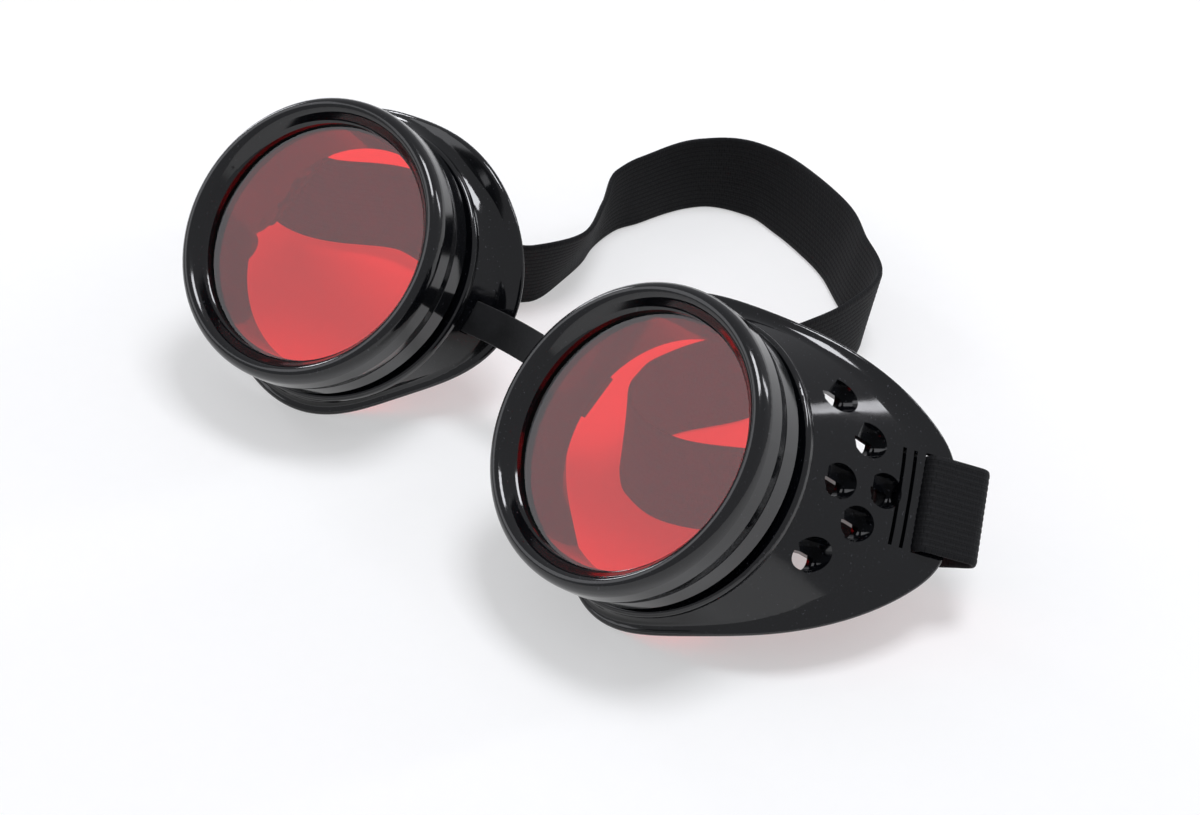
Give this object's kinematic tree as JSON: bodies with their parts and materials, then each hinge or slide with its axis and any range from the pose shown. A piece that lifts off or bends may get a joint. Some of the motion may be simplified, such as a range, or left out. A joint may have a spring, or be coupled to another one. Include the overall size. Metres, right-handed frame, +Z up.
{
  "type": "steampunk goggles",
  "caption": "Goggles with round dark eyecups, tinted flat lenses under screw-on rings, vented sides, a flexible bridge strip and an elastic headband.",
  "frame": {"origin": "middle of the goggles' footprint on the table they lie on", "axes": "+X from the left eyecup to the right one, -Y the way the lenses look, +Z up; the lenses also look up at about 47 degrees as the goggles lie"},
  "size_m": [0.1962, 0.1362, 0.0576],
  "materials": {
    "cup_plastic": "glossy near-black moulded plastic",
    "ring_plastic": "glossy near-black moulded plastic",
    "tinted_lens": "clear red tinted flat lens",
    "bridge": "matte black flexible strip",
    "elastic": "black woven elastic, ribbed along its length"
  },
  "bodies": {
    "right_cup": {"eyecup_right": "cup_plastic", "bridge_strip": "bridge", "headband": "elastic"},
    "left_cup": {"eyecup_left": "cup_plastic"},
    "lens_right_body": {"lens_right": "tinted_lens"},
    "ring_right_body": {"lens_ring_right": "ring_plastic"},
    "lens_left_body": {"lens_left": "tinted_lens"},
    "ring_left_body": {"lens_ring_left": "ring_plastic"}
  },
  "joints": [
    {"name": "bridge_fold", "type": "hinge", "parent": "right_cup", "child": "left_cup", "pos_m": [0.00083, -0.02655, 0.0226], "axis": [0, 0.7349, 0.6782], "range_deg": [-30, 35], "stiffness_Nm_per_rad": 0.01, "deforming": ["bridge_strip", "headband"]},
    {"name": "lens_lift_right", "type": "slide", "parent": "right_cup", "child": "lens_right_body", "axis": [-0.1026, -0.6704, 0.7349], "range_m": [0, 0.006]},
    {"name": "ring_turn_right", "type": "hinge", "parent": "lens_right_body", "child": "ring_right_body", "pos_m": [0.04533, -0.0445, 0.03568], "axis": [-0.1026, -0.6704, 0.7349], "range_deg": [0, 720]},
    {"name": "lens_lift_left", "type": "slide", "parent": "left_cup", "child": "lens_left_body", "axis": [0.1026, -0.6704, 0.7349], "range_m": [0, 0.006]},
    {"name": "ring_turn_left", "type": "hinge", "parent": "lens_left_body", "child": "ring_left_body", "pos_m": [-0.04367, -0.0445, 0.03568], "axis": [0.1026, -0.6704, 0.7349], "range_deg": [0, 720]}
  ],
  "couplings": [
    {"joint": "lens_lift_right", "follows": "ring_turn_right", "m_per_rad": 0.00047746},
    {"joint": "lens_lift_left", "follows": "ring_turn_left", "m_per_rad": 0.00047746}
  ]
}
